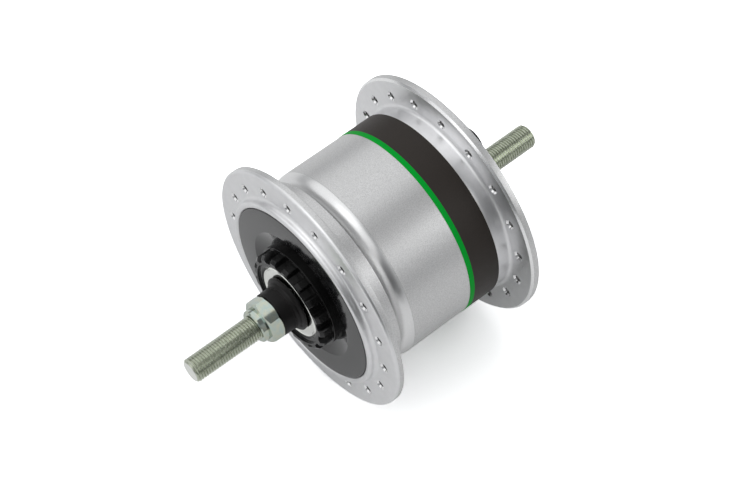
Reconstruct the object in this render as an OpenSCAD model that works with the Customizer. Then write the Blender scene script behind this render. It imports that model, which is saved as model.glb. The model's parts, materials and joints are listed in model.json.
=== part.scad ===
// Front bicycle hub with a generator inside, a splined brake side and a lamp terminal.
// The origin is on the axle, midway between its two ends. Y runs along the axle with the brake
// side at +Y, Z is up and X points the way the bicycle travels. Lengths are in millimetres.

/* [Axle] */
// Overall length of the axle
axle_len = 148.5; // [136:0.5:165]
// Thread diameter of the axle
axle_d = 9; // [8:0.5:10]
// Pitch of the axle thread
thread_pitch = 1; // [0.75:0.25:1.25]
// Chamfer at each end of the axle
axle_chamfer = 0.8; // [0.4:0.1:1.2]
// Distance between the two fork faces, measured over the lock nuts
fork_span = 100; // [90:1:116]
// How far the middle of the fork lies from the axle's middle, towards the terminal
fork_shift = 2; // [0:0.1:4]
// How much thicker than the thread the shank under the stator is, on the radius
shank_step = 0.5; // [0.2:0.1:1]

/* [Flanges] */
// Diameter of the circle through the spoke holes
spoke_circle_d = 80; // [79:0.5:95]
// Spoke holes in each flange
spoke_count = 18; // [12:2:24]
// Diameter of a spoke hole
spoke_hole_d = 2.6; // [2.2:0.1:3]
// Chamfer round both ends of a spoke hole
hole_chamfer = 0.6; // [0.3:0.1:0.8]
// Angle of the first brake-side spoke hole, from X towards Z
hole_phase = -2; // [-10:1:10]
// Metal from the spoke circle out to the rim
flange_edge = 6.75; // [4:0.25:9]
// Thickness of a flange
flange_t = 3; // [2.4:0.1:4]
// Radius of the rounded edges of the rim
rim_round = 1; // [0.4:0.1:1.2]
// Radius of the fillets at the foot of a flange
flange_fillet = 1.4; // [0.5:0.1:1.5]
// From the brake-side fork face in to the middle of its flange
left_setback = 24.1; // [22.5:0.1:26]
// From the terminal-side fork face in to the middle of its flange
right_setback = 16.7; // [15.5:0.1:18]

/* [Shell] */
// Outer diameter of the shell
shell_d = 72.4; // [68:0.2:73]
// Wall of the shell
shell_wall = 2.6; // [2:0.1:3]
// Length of the neck behind the brake-side flange
neck_len = 7.4; // [6:0.1:10]
// How far the neck stands out past the shell
neck_rise = 0.2; // [0.1:0.1:0.6]
// Radius of the rounded shoulder beside the neck
shoulder_round = 5; // [4:0.25:6]
// Chamfer of the neck's edge beside the groove
neck_edge = 0.2; // [0.1:0.1:0.5]
// Width of the groove between the shoulder and the neck, at its bottom
groove_w = 0.9; // [0.2:0.1:1.2]
// Thickness of the webs that close the two ends
web_t = 3.5; // [2.5:0.1:4]
// Length of the collar between the terminal-side flange and the shell
collar_len = 5.5; // [4.5:0.1:7]
// How far the collar lies below the shell's surface
collar_step = 0.2; // [0.1:0.1:0.5]
// Length of the spigot that centres the terminal-side flange in the shell
spigot_len = 3.8; // [3:0.1:5]
// Wall of the spigot
spigot_wall = 2.6; // [2:0.1:3]
// Diameter of the seal ring's cord
seal_d = 1.1; // [0.8:0.1:1.3]

/* [Label] */
// Width of the dark label band
band_w = 10.85; // [8:0.05:14]
// Width of the green stripe beside the band
stripe_w = 1.9; // [1:0.1:3]
// Thickness of the label film
film_t = 0.1; // [0.05:0.05:0.2]
// Bare metal between the band and the shell's edge
band_inset = 0.2; // [0.1:0.1:1]

/* [Brake side] */
// How far the side plate stands out past the flange
plate_rise = 2.6; // [2.2:0.1:3.2]
// Thickness of the side plate
plate_t = 1.5; // [1.3:0.1:2]
// Width of the shell's bead round the side plate
bead_w = 2.45; // [2:0.05:3]
// How far the bead stands out past the side plate
bead_rise = 0.2; // [0.1:0.1:0.5]
// Width of the ledge that the side plate rests on
ledge_w = 2.2; // [1.5:0.1:3]
// Width of the plate's sloping dish
dish_w = 5.3; // [3:0.1:7]
// Depth of the plate's sloping dish
dish_depth = 2.1; // [1:0.1:2.4]
// Teeth on the brake spline
spline_teeth = 17; // [14:1:20]
// Angle of one tooth, from X towards Z
spline_phase = 45.5; // [36:0.5:56]
// Height of a tooth above its root
tooth_h = 2.1; // [1.5:0.1:2.6]
// Length of a tooth along the axle
tooth_len = 4.7; // [3.8:0.1:5.4]
// Width of a tooth at its tip
tooth_tip_w = 2.6; // [2:0.1:3]
// Width of a tooth at its root
tooth_root_w = 3.3; // [3:0.1:3.8]
// Chamfer round the front of the teeth
tooth_chamfer = 1; // [0.5:0.1:1.4]
// Wall of the spline ring under the tooth roots
spline_wall = 2.6; // [2:0.1:3]
// Width of the rim round the shallow step in the spline ring's front
front_rim = 0.6; // [0.4:0.1:0.9]
// Depth of the shallow step in the spline ring's front
front_step = 0.7; // [0.4:0.1:0.9]
// How far the brake-side dust cap lies below the front of the spline ring
cap_depth = 1.05; // [0.95:0.05:1.3]
// Ledge of the spline ring's base outside the tooth tips
base_land = 0.7; // [0.4:0.1:1.4]
// How far the base of the spline ring stands out past the flange
base_rise = 3.8; // [3.5:0.1:4.4]

/* [Bearings] */
// Diameter of a bearing ball
ball_d = 4.76; // [3.96:0.02:5.2]
// Balls in each bearing
ball_count = 9; // [7:1:10]
// Metal of a cone between the thread and the ball track
cone_wall = 2.7; // [2.4:0.1:3.2]
// Metal of a cup outside the ball track
cup_wall = 1.6; // [1.2:0.1:2]
// Wall of the bosses that hold the cups
boss_wall = 2.9; // [2.4:0.1:3.2]
// Length of the rubber seal on the terminal-side cone
right_seal_len = 1.5; // [1:0.1:2.5]
// Thickness of the dust caps
dust_cap_t = 1.2; // [0.8:0.1:1.5]
// Wall of the rubber boot and seal on the cones
boot_wall = 1.2; // [0.9:0.1:1.6]
// How far the lip of the boot and seal spreads past their wall
boot_lip = 2.1; // [1.2:0.1:2.6]

/* [Lock nuts] */
// Size of the lock nuts across their flats
nut_af = 15; // [13:0.5:17]
// Length of the brake-side lock nut with its collar
left_nut_len = 7.4; // [6.4:0.1:8.4]
// Length of the brake-side lock nut's collar
nut_collar_len = 2.4; // [1.6:0.1:3.2]
// Wall of the brake-side lock nut's collar
nut_collar_wall = 1.55; // [1:0.05:2]
// Length of the terminal-side lock nut
right_nut_len = 5.2; // [4.6:0.1:5.6]
// Thickness of the earth washer
washer_t = 0.8; // [0.5:0.1:1]
// Angle of one corner of the lock nuts, from X towards Z
nut_phase = 12; // [0:1:59]

/* [Generator] */
// Magnetic poles of the stator
pole_count = 28; // [20:2:32]
// Radial thickness of the steel yoke round the magnets
yoke_t = 2.9; // [2:0.1:3.4]
// Radial thickness of the magnets
magnet_t = 3; // [2:0.1:3.6]
// Magnet pieces round the rotor
magnet_count = 4; // [2:1:8]
// Gap between two magnet pieces
magnet_gap = 1; // [0.5:0.1:2]
// Radial gap between the magnets and the stator
air_gap = 0.4; // [0.3:0.05:0.8]
// Thickness of the stator's end plates
core_t = 2.1; // [1.5:0.1:3]
// Radial thickness of the stator's claws
claw_t = 2; // [1.4:0.1:2.6]
// Gap between two neighbouring claws
claw_gap = 1.6; // [1:0.1:2]
// Wall of the core tube inside the coil
tube_wall = 4; // [3:0.1:5]
// Wall of the coil's bobbin
bobbin_wall = 1.2; // [0.8:0.1:1.6]
// Thickness of the tape round the coil
tape_t = 0.3; // [0.2:0.05:0.5]
// Length of the nut that clamps the stator
stator_nut_len = 3.5; // [3:0.1:4]
// Size of the stator nut across its flats
stator_nut_af = 14; // [13:0.5:15]

/* [Terminal] */
// Angle of the terminal, from X towards Z, along the fork leg
terminal_angle = 94; // [60:1:120]
// How far from the axle the terminal's top reaches
terminal_reach = 28.6; // [24:0.2:36]
// Width of the terminal's tongue
tongue_w = 11; // [10:0.5:14]
// Thickness of the terminal block along the axle
block_t = 5; // [4.4:0.1:5.6]
// Wall of the terminal block round the axle
block_wall = 8; // [6:0.1:9]
// Width of a contact strip
contact_w = 2.6; // [2:0.1:3.2]
// Thickness of a contact strip
contact_t = 0.6; // [0.4:0.1:0.8]
// Distance between the middles of the two contact strips
contact_pitch = 6; // [5:0.2:7]
// Bare tongue left above the contact strips
contact_inset = 5; // [3:0.5:8]
// Diameter of the insulated lead wire
wire_d = 1.2; // [1:0.1:1.4]

/* [Fits] */
// Gap between pieces that are pressed, glued or threaded together
seat_gap = 0.02; // [0.01:0.01:0.04]
// Gap between a ball and its tracks
track_gap = 0.05; // [0.02:0.01:0.08]
// Gap between still and turning pieces
run_gap = 0.4; // [0.3:0.05:0.6]

/* [Hidden] */
$fn = 96;
arc_steps = 6;
// Share of the pitch from a thread's crest down to its pitch line
pitch_line_depth = 0.325;
// Length that a cut runs past the metal it cuts
past = 1;

// Axle
axle_r = axle_d / 2;
thread_r = axle_r - pitch_line_depth * thread_pitch;
nut_bore_r = thread_r + seat_gap;
shank_r = axle_r + shank_step;
axle_y = axle_len / 2;
left_fork_y = fork_span / 2 - fork_shift;
right_fork_y = -fork_span / 2 - fork_shift;

// Flanges
flange_r = spoke_circle_d / 2 + flange_edge;
left_mid_y = left_fork_y - left_setback;
left_face_y = left_mid_y + flange_t / 2;
left_back_y = left_mid_y - flange_t / 2;
right_mid_y = right_fork_y + right_setback;
right_face_y = right_mid_y - flange_t / 2;
right_back_y = right_mid_y + flange_t / 2;
hole_pitch = 360 / spoke_count;

// Shell
shell_r = shell_d / 2;
bore_r = shell_r - shell_wall;
neck_r = shell_r + neck_rise;
neck_end_y = left_back_y - neck_len;
shoulder_y = neck_end_y - groove_w - shoulder_round;
throat_r = bore_r - shoulder_round;
step_y = shoulder_y - shoulder_round;
shell_end_y = right_back_y + collar_len;
collar_r = shell_r - collar_step;
spigot_r = bore_r - seat_gap;
spigot_end_y = shell_end_y + spigot_len;
seal_r = bore_r - seat_gap - seal_d / 2;
seal_y = shell_end_y + spigot_len / 2;
band_y = shell_end_y + band_inset;
stripe_y = band_y + band_w;

// Bearings, from the axle outwards
ball_r = ball_d / 2;
ball_circle_r = axle_r + cone_wall + ball_r;
track_r = ball_r + track_gap;
cone_step = 0.3;
cone_lip_t = 1.6;
cage_rim_t = 0.7;
pocket_gap = 0.12;
cup_seat = 0.8;
cup_floor_t = 1.2;
cup_lip = 0.36;
dust_cap_land = 0.25;
dust_step = 0.1;
cone_body_r = ball_circle_r - ball_r - cone_step;
cone_lip_r = ball_circle_r - ball_r / 2 + cone_step;
cone_lip_len = ball_r + cone_lip_t;
cone_tail = ball_r + 2 * track_gap;
cage_in_r = cone_lip_r + run_gap;
cage_out_r = ball_circle_r + ball_r / 3;
cage_foot = ball_r / 2;
cage_head = ball_r + cage_rim_t;
cup_r = ball_circle_r + ball_r + cup_wall;
cup_back = ball_r + cup_wall;
cup_mouth = ball_r - cup_lip;
cup_bore_r = ball_circle_r - cone_step;
boss_bore_r = cup_r + seat_gap;
boss_r = cup_r + boss_wall;
seat_bore_r = cup_r - cup_seat;
dust_cap_r = cup_r + dust_cap_land;
cap_seat_r = dust_cap_r + seat_gap;
dust_hole_r = cone_lip_r + run_gap;

// Brake side, from the flange's face outwards
plate_y = left_face_y + plate_rise;
dish_y = plate_y - dish_depth;
ledge_y = plate_y - plate_t;
web_y = dish_y - plate_t;
plate_r = shell_r - bead_w;
bead_y = plate_y + bead_rise;
bead_half = bead_w / 2;
bead_mid_y = bead_y - bead_half;
bead_foot = min(flange_fillet, bead_mid_y - left_face_y);
base_y = left_face_y + base_rise;
spline_y = base_y + tooth_len;
base_floor_t = 0.6;
boss_y = base_y - base_floor_t;
left_ball_y = boss_y - cup_mouth;
left_cup_y = left_ball_y - cup_back;
spline_edge = 0.55;
root_r = cap_seat_r + spline_wall;
front_bore_r = root_r - front_rim;
front_floor_y = spline_y - front_step;
tip_r = root_r + tooth_h;
base_r = tip_r + base_land;
plate_bore_r = base_r + seat_gap;
dish_r = plate_bore_r + dish_w;

// Stacks of nuts on the axle, from the fork faces inwards
left_nut_y = left_fork_y - left_nut_len;
nut_hex_y = left_fork_y - nut_collar_len;
nut_collar_r = axle_r + nut_collar_wall;
nut_collar_edge = 0.4;
nut_crown = 0.9;
right_nut_y = right_fork_y + right_nut_len;
washer_y = right_nut_y + washer_t;
washer_r = nut_af / 2;
block_y = washer_y + block_t;
left_dust_y = spline_y - cap_depth;
boot_y = left_dust_y + run_gap;
boot_in_r = cone_body_r + seat_gap;
boot_r = boot_in_r + boot_wall;
lip_r = boot_r + boot_lip;
lip_t = 0.7;
right_seal_y = block_y + right_seal_len;
right_boss_y = right_seal_y + run_gap;
right_ball_y = right_boss_y + dust_step + dust_cap_t + run_gap + cage_head;
right_cup_y = right_ball_y + cup_back;
right_web_out_y = right_face_y + plate_t;
right_web_in_y = right_web_out_y + web_t;
right_floor_y = max(right_cup_y, right_web_in_y) + cup_floor_t;

// Generator, from the shell inwards
yoke_r = bore_r - seat_gap;
yoke_in_r = yoke_r - yoke_t;
magnet_r = yoke_in_r - seat_gap;
magnet_in_r = magnet_r - magnet_t;
stator_r = magnet_in_r - air_gap;
claw_in_r = stator_r - claw_t;
core_bore_r = shank_r + seat_gap;
tube_r = core_bore_r + tube_wall;
yoke_left_y = step_y - seat_gap;
yoke_right_y = spigot_end_y + seat_gap;
rotor_margin = 1.5;
stator_left_y = yoke_left_y - rotor_margin;
stator_right_y = yoke_right_y + rotor_margin;
core_left_y = stator_left_y - core_t;
core_right_y = stator_right_y + core_t;
axle_collar_r = tube_r;
axle_collar_t = 2.5;
bobbin_gap = 0.2;
coil_inset = 0.5;
bobbin_r = claw_in_r - bobbin_gap;
bobbin_in_r = tube_r + seat_gap;
bobbin_left_y = core_left_y - seat_gap;
bobbin_right_y = core_right_y + seat_gap;
coil_in_r = bobbin_in_r + bobbin_wall + seat_gap;
coil_r = bobbin_r - tape_t - coil_inset;
coil_left_y = bobbin_left_y - bobbin_wall - seat_gap;
coil_right_y = bobbin_right_y + bobbin_wall + seat_gap;
claw_pitch = 360 / pole_count;
claw_half = claw_pitch / 2 - asin(claw_gap / 2 / stator_r);
core_edge = claw_t / 2;
magnet_half = 180 / magnet_count - asin(magnet_gap / 2 / magnet_r);
stator_nut_y = stator_right_y - stator_nut_len;

// Wire and terminal
wire_room = 0.15;
wire_r = wire_d / 2;
wire_bore_r = wire_r + wire_room;
wire_groove_w = 2 * wire_bore_r;
wire_turn_y = stator_nut_y - wire_d;
wire_axle_r = thread_r - wire_bore_r;
wire_coil_r = tube_r + bobbin_wall + wire_d;
wire_floor_r = wire_axle_r - wire_bore_r;
block_mid_y = block_y - block_t / 2;
block_r = nut_bore_r + block_wall;
contact_start_r = block_r + wire_d;
contact_end_r = terminal_reach - contact_inset;
contact_foot_r = contact_w / 2;
contact_foot_x = contact_start_r + contact_foot_r;

// Points on an arc round [x, y], from one angle to another
function arc(x, y, r, from, to, steps = arc_steps) =
    [for (i = [0:steps]) let (a = from + (to - from) * i / steps) [x + r * cos(a), y + r * sin(a)]];

// A profile of [radius, y] points turned round the axle
module turned(profile) {
    rotate([-90, 0, 0])
        rotate_extrude()
            polygon(profile);
}

// A plain turned ring
module ring(r_in, r_out, y_from, y_to) {
    turned([[r_in, y_from], [r_out, y_from], [r_out, y_to], [r_in, y_to]]);
}

// Turns a child from the X axis towards the Z axis
module toward(angle) {
    rotate([0, -angle, 0])
        children();
}

// An outline in the XZ plane raised along Y
module raised(y_from, y_to) {
    translate([0, y_from, 0])
        rotate([-90, 0, 0])
            linear_extrude(y_to - y_from)
                children();
}

// A straight round rod along Y
module rod_y(x, z, r, y_from, y_to) {
    translate([x, y_from, z])
        rotate([-90, 0, 0])
            cylinder(r = r, h = y_to - y_from);
}

// A straight round rod along X
module rod_x(y, z, r, x_from, x_to) {
    translate([x_from, y, z])
        rotate([0, 90, 0])
            cylinder(r = r, h = x_to - x_from);
}

// A sector of a ring, as an outline centred on the X axis
module sector(r_in, r_out, half_angle) {
    reach = r_out / cos(half_angle) + past;
    intersection() {
        difference() {
            circle(r_out);
            circle(r_in);
        }
        polygon([
            [0, 0],
            [reach * cos(half_angle), -reach * sin(half_angle)],
            [reach * cos(half_angle), reach * sin(half_angle)]
        ]);
    }
}

// One spoke hole with a chamfer at both faces of a flange
module spoke_hole(y_from, y_to) {
    hole_r = spoke_hole_d / 2;
    mouth_r = hole_r + hole_chamfer;
    rod_y(spoke_circle_d / 2, 0, hole_r, y_from - past, y_to + past);
    translate([spoke_circle_d / 2, y_from, 0])
        rotate([-90, 0, 0])
            cylinder(r1 = mouth_r, r2 = hole_r, h = hole_chamfer);
    translate([spoke_circle_d / 2, y_to - hole_chamfer, 0])
        rotate([-90, 0, 0])
            cylinder(r1 = hole_r, r2 = mouth_r, h = hole_chamfer);
}

// All the spoke holes of one flange
module spoke_holes(phase, y_from, y_to) {
    for (i = [0:spoke_count - 1])
        toward(phase + i * hole_pitch)
            spoke_hole(y_from, y_to);
}

// The ring-shaped space that the balls run in
module ball_track(y) {
    turned(arc(ball_circle_r, y, track_r, 0, 360, 36));
}

// A hexagon with crowned corners, its axis along Y
module crowned_hex(af, y_from, y_to, phase) {
    corner_r = af / sqrt(3);
    crown_r = af / 2;
    intersection() {
        toward(phase)
            translate([0, y_from, 0])
                rotate([-90, 0, 0])
                    cylinder(r = corner_r, h = y_to - y_from, $fn = 6);
        turned([
            [0, y_from], [crown_r, y_from], [corner_r, y_from + nut_crown],
            [corner_r, y_to - nut_crown], [crown_r, y_to], [0, y_to]
        ]);
    }
}

// The inner race of a bearing, from its ball track out to the nut or block that locks it
module cone(ball_y, end_y, out) {
    difference() {
        union() {
            ring(nut_bore_r, cone_body_r, ball_y - out * cone_tail, end_y);
            ring(nut_bore_r, cone_lip_r, ball_y, ball_y + out * cone_lip_len);
        }
        ball_track(ball_y);
    }
}

// The outer race of a bearing, open on its outer side
module cup(ball_y, out) {
    difference() {
        ring(cup_bore_r, cup_r, ball_y - out * cup_back, ball_y + out * cup_mouth);
        ball_track(ball_y);
        ring(0, cage_out_r + run_gap, ball_y, ball_y + out * (cup_mouth + past));
    }
}

// The balls of one bearing
module balls(y) {
    for (i = [0:ball_count - 1])
        toward(i * 360 / ball_count)
            translate([ball_circle_r, y, 0])
                sphere(ball_r, $fn = 48);
}

// The cage that spaces the balls of one bearing
module ball_cage(y, out) {
    difference() {
        ring(cage_in_r, cage_out_r, y - out * cage_foot, y + out * cage_head);
        for (i = [0:ball_count - 1])
            toward(i * 360 / ball_count)
                rod_x(y, 0, ball_r + pocket_gap, cage_in_r - past, cage_out_r + past);
    }
}

// One half of the stator: an end plate whose claws reach over the coil
module claw_core(plate_from, plate_to, claw_from, claw_to, phase) {
    ring(core_bore_r, stator_r - core_edge, plate_from, plate_to);
    for (i = [0:pole_count / 2 - 1])
        toward(phase + i * 2 * claw_pitch)
            raised(claw_from, claw_to)
                sector(claw_in_r, stator_r, claw_half);
}

// Threaded spindle; its ends are full size and its stretches under nuts lie at the pitch line
module axle() {
    color("#8c8a76")
        difference() {
            turned([
                [0, -axle_y], [axle_r - axle_chamfer, -axle_y], [axle_r, -axle_y + axle_chamfer],
                [axle_r, right_fork_y], [thread_r, right_fork_y], [thread_r, stator_right_y],
                [shank_r, stator_right_y], [shank_r, stator_left_y], [axle_collar_r, stator_left_y],
                [axle_collar_r, stator_left_y + axle_collar_t], [shank_r, stator_left_y + axle_collar_t],
                [shank_r, left_ball_y - cone_tail], [thread_r, left_ball_y - cone_tail],
                [thread_r, left_fork_y], [axle_r, left_fork_y], [axle_r, axle_y - axle_chamfer],
                [axle_r - axle_chamfer, axle_y], [0, axle_y]
            ]);
            toward(terminal_angle)
                translate([wire_floor_r, block_mid_y - wire_bore_r, -wire_groove_w / 2])
                    cube([axle_r, wire_turn_y - block_mid_y + 2 * wire_bore_r, wire_groove_w]);
        }
}

// Brake-side lock nut: a hexagon with a plain collar that bears on the fork
module left_lock_nut() {
    color("#c9ced4")
        difference() {
            union() {
                crowned_hex(nut_af, left_nut_y, nut_hex_y, nut_phase);
                turned([
                    [0, nut_hex_y - past], [nut_collar_r, nut_hex_y - past],
                    [nut_collar_r, left_fork_y - nut_collar_edge],
                    [nut_collar_r - nut_collar_edge, left_fork_y], [0, left_fork_y]
                ]);
            }
            ring(0, nut_bore_r, left_nut_y - past, left_fork_y + past);
        }
}

module left_cone() {
    color("#a9adb1")
        cone(left_ball_y, left_nut_y, 1);
}

// Rubber boot on the brake-side cone, with a lip that spreads over the dust cap
module left_boot() {
    waist_y = boot_y + lip_t + boot_lip;
    color("#1d1d1f")
        turned(concat(
            [[boot_in_r, boot_y], [lip_r, boot_y], [lip_r, boot_y + lip_t]],
            arc(lip_r, waist_y, boot_lip, 270, 180),
            [[boot_r, left_nut_y], [boot_in_r, left_nut_y]]
        ));
}

module right_cone() {
    color("#a9adb1")
        cone(right_ball_y, block_y, -1);
}

// Rubber seal on the terminal-side cone
module right_seal() {
    color("#1d1d1f")
        turned([
            [boot_in_r, right_seal_y], [lip_r, right_seal_y], [lip_r, right_seal_y - lip_t],
            [boot_r, block_y], [boot_in_r, block_y]
        ]);
}

// Outline of the terminal block: a round base on the axle and a round-topped tongue
module block_outline() {
    top_r = tongue_w / 2;
    difference() {
        union() {
            circle(block_r);
            translate([0, -top_r])
                square([terminal_reach - top_r, tongue_w]);
            translate([terminal_reach - top_r, 0])
                circle(top_r);
        }
        circle(nut_bore_r);
    }
}

// Moulded block that leads the wire from the axle to the two contacts
module terminal_block() {
    color("#222224")
        toward(terminal_angle)
            difference() {
                raised(washer_y, block_y)
                    block_outline();
                rod_x(block_mid_y, 0, wire_bore_r, 0, contact_foot_x);
                translate([contact_foot_x, block_mid_y, 0])
                    sphere(wire_bore_r);
                translate([contact_foot_x, block_mid_y, 0])
                    cylinder(r = wire_bore_r, h = contact_pitch / 2 + contact_foot_r);
                for (side = [-1, 1])
                    translate([contact_start_r - seat_gap, washer_y - past, side * contact_pitch / 2])
                        translate([0, 0, -contact_w / 2 - seat_gap])
                            cube([
                                contact_end_r - contact_start_r + 2 * seat_gap,
                                contact_t + past,
                                contact_w + 2 * seat_gap
                            ]);
                for (side = [-1, 1])
                    rod_y(contact_foot_x, side * contact_pitch / 2, contact_foot_r + seat_gap,
                        washer_y, block_mid_y);
            }
}

// Two brass strips let into the block's outer face, each with a foot inside the block
module terminal_contacts() {
    color("#c8a24a")
        toward(terminal_angle)
            for (side = [-1, 1]) {
                translate([contact_start_r, washer_y, side * contact_pitch / 2 - contact_w / 2])
                    cube([contact_end_r - contact_start_r, contact_t, contact_w]);
                rod_y(contact_foot_x, side * contact_pitch / 2, contact_foot_r,
                    washer_y, block_mid_y - wire_r - seat_gap);
            }
}

// Insulated wire from the coil, along the axle's groove and out to the live contact
module lead_wire() {
    color("#b03a2e")
        toward(terminal_angle) {
            rod_y(wire_coil_r, 0, wire_r, wire_turn_y, core_right_y);
            translate([wire_coil_r, wire_turn_y, 0])
                sphere(wire_r);
            rod_x(wire_turn_y, 0, wire_r, wire_axle_r, wire_coil_r);
            translate([wire_axle_r, wire_turn_y, 0])
                sphere(wire_r);
            rod_y(wire_axle_r, 0, wire_r, block_mid_y, wire_turn_y);
            translate([wire_axle_r, block_mid_y, 0])
                sphere(wire_r);
            rod_x(block_mid_y, 0, wire_r, wire_axle_r, contact_foot_x);
            translate([contact_foot_x, block_mid_y, 0])
                sphere(wire_r);
            translate([contact_foot_x, block_mid_y, 0])
                cylinder(r = wire_r, h = contact_pitch / 2);
        }
}

module earth_washer() {
    color("#b9bdb8")
        ring(nut_bore_r, washer_r, right_nut_y, washer_y);
}

module right_lock_nut() {
    color("#c9ced4")
        difference() {
            crowned_hex(nut_af, right_fork_y, right_nut_y, nut_phase);
            ring(0, nut_bore_r, right_fork_y - past, right_nut_y + past);
        }
}

// Nut that clamps the stator against the axle's collar
module stator_nut() {
    color("#9a9da0")
        difference() {
            crowned_hex(stator_nut_af, stator_nut_y, stator_right_y, nut_phase);
            ring(0, nut_bore_r, stator_nut_y - past, stator_right_y + past);
        }
}

module stator_core_left() {
    color("#7d8084")
        claw_core(core_left_y, stator_left_y, core_right_y + claw_gap, stator_left_y, 0);
}

module stator_core_right() {
    color("#74777b")
        difference() {
            claw_core(stator_right_y, core_right_y, stator_right_y, core_left_y - claw_gap, claw_pitch);
            toward(terminal_angle)
                rod_y(wire_coil_r, 0, wire_bore_r, stator_right_y - past, core_right_y + past);
        }
}

// Steel tube that carries the magnetic flux through the coil
module core_tube() {
    color("#84878b")
        ring(core_bore_r, tube_r, core_right_y, core_left_y);
}

module coil_bobbin() {
    color("#e6e2d3")
        difference() {
            ring(bobbin_in_r, bobbin_r, bobbin_right_y, bobbin_left_y);
            ring(bobbin_in_r + bobbin_wall, bobbin_r + past,
                bobbin_right_y + bobbin_wall, bobbin_left_y - bobbin_wall);
        }
}

module coil_winding() {
    color("#b4672e")
        ring(coil_in_r, coil_r, coil_right_y, coil_left_y);
}

module coil_tape() {
    color("#d9c26a")
        ring(coil_r + seat_gap, coil_r + tape_t, coil_right_y, coil_left_y);
}

// Shell with the brake-side flange, its neck, the bead round the side plate and the bearing boss
module hub_shell() {
    back_bevel = rim_round / 2;
    color("#bfc1c1")
        difference() {
            turned(concat(
                [[boss_bore_r, left_cup_y], [boss_bore_r, boss_y], [boss_r, boss_y], [boss_r, web_y]],
                [[plate_r - ledge_w, web_y], [plate_r - ledge_w, ledge_y], [plate_r, ledge_y]],
                arc(plate_r + bead_half, bead_mid_y, bead_half, 180, 0),
                arc(shell_r + bead_foot, left_face_y + bead_foot, bead_foot, 180, 270),
                arc(flange_r - rim_round, left_face_y - rim_round, rim_round, 90, 0),
                [[flange_r, left_back_y + back_bevel], [flange_r - back_bevel, left_back_y]],
                arc(neck_r + flange_fillet, left_back_y - flange_fillet, flange_fillet, 90, 180),
                [[neck_r, neck_end_y + neck_edge], [neck_r - neck_edge, neck_end_y]],
                [[shell_r - shoulder_round, neck_end_y]],
                arc(shell_r - shoulder_round, shoulder_y, shoulder_round, 90, 0),
                [[shell_r, shell_end_y], [bore_r, shell_end_y], [bore_r, step_y]],
                [[throat_r, step_y + shoulder_round], [throat_r, web_y - web_t]],
                [[seat_bore_r, web_y - web_t], [seat_bore_r, left_cup_y]]
            ));
            spoke_holes(hole_phase, left_back_y, left_face_y);
        }
}

// Terminal-side flange with its collar, the spigot inside the shell and the bearing boss
module right_flange() {
    back_bevel = rim_round / 2;
    recess_r = collar_r - spigot_wall;
    seal_groove = seal_d / 2 + seat_gap;
    color("#c3c5c6")
        difference() {
            turned(concat(
                [[seat_bore_r, right_floor_y], [boss_r, right_floor_y]],
                [[boss_r, right_web_in_y], [spigot_r - spigot_wall, right_web_in_y]],
                [[spigot_r - spigot_wall, spigot_end_y], [spigot_r, spigot_end_y]],
                [[spigot_r, shell_end_y], [collar_r, shell_end_y]],
                arc(collar_r + flange_fillet, right_back_y + flange_fillet, flange_fillet, 180, 270),
                arc(flange_r - rim_round, right_back_y - rim_round, rim_round, 90, 0),
                [[flange_r, right_face_y + back_bevel], [flange_r - back_bevel, right_face_y]],
                [[recess_r, right_face_y], [recess_r - plate_t, right_web_out_y], [boss_r, right_web_out_y]],
                [[boss_r, right_boss_y], [cap_seat_r, right_boss_y]],
                [[cap_seat_r, right_ball_y - cup_mouth], [boss_bore_r, right_ball_y - cup_mouth]],
                [[boss_bore_r, right_cup_y], [seat_bore_r, right_cup_y]]
            ));
            ring(seal_r - seal_groove, bore_r + past, seal_y - seal_groove, seal_y + seal_groove);
            spoke_holes(hole_phase + hole_pitch / 2, right_face_y, right_back_y);
        }
}

// Dark plate inside the bead, dished towards the spline ring
module brake_side_plate() {
    color("#2a2a2d")
        turned([
            [plate_bore_r, dish_y], [dish_r, plate_y], [plate_r - seat_gap, plate_y],
            [plate_r - seat_gap, ledge_y], [dish_r, ledge_y], [plate_bore_r, web_y]
        ]);
}

// Outline of the toothed part of the spline ring
module spline_outline() {
    circle(root_r);
    intersection() {
        circle(tip_r);
        for (i = [0:spline_teeth - 1])
            rotate(-spline_phase + i * 360 / spline_teeth)
                polygon([
                    [0, -tooth_root_w / 2], [root_r, -tooth_root_w / 2], [tip_r, -tooth_tip_w / 2],
                    [tip_r, tooth_tip_w / 2], [root_r, tooth_root_w / 2], [0, tooth_root_w / 2]
                ]);
    }
}

// Splined ring on the shell's boss, which drives the brake
module brake_spline_ring() {
    color("#232325")
        difference() {
            union() {
                ring(0, base_r, web_y, base_y);
                intersection() {
                    raised(base_y - past, spline_y)
                        spline_outline();
                    turned([
                        [0, base_y - past], [tip_r, base_y - past], [tip_r, spline_y - tooth_chamfer],
                        [tip_r - tooth_chamfer, spline_y], [0, spline_y]
                    ]);
                }
            }
            ring(0, boss_r + seat_gap, web_y - past, boss_y);
            turned([
                [0, boss_y - past], [cap_seat_r, boss_y - past], [cap_seat_r, front_floor_y - spline_edge],
                [cap_seat_r + spline_edge, front_floor_y], [front_bore_r, front_floor_y],
                [front_bore_r, spline_y + past], [0, spline_y + past]
            ]);
        }
}

module left_bearing_cup() {
    color("#a2a6aa")
        cup(left_ball_y, 1);
}

// Pressed steel ring that closes the brake-side bearing
module left_dust_cap() {
    color("#d4d7da")
        ring(dust_hole_r, dust_cap_r, left_dust_y - dust_cap_t, left_dust_y);
}

module right_bearing_cup() {
    color("#a2a6aa")
        cup(right_ball_y, -1);
}

// Pressed steel ring that closes the terminal-side bearing
module right_dust_cap() {
    color("#d4d7da")
        ring(dust_hole_r, dust_cap_r, right_boss_y + dust_step, right_boss_y + dust_step + dust_cap_t);
}

// Steel ring behind the magnets
module rotor_yoke() {
    color("#6f7276")
        ring(yoke_in_r, yoke_r, yoke_right_y, yoke_left_y);
}

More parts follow.
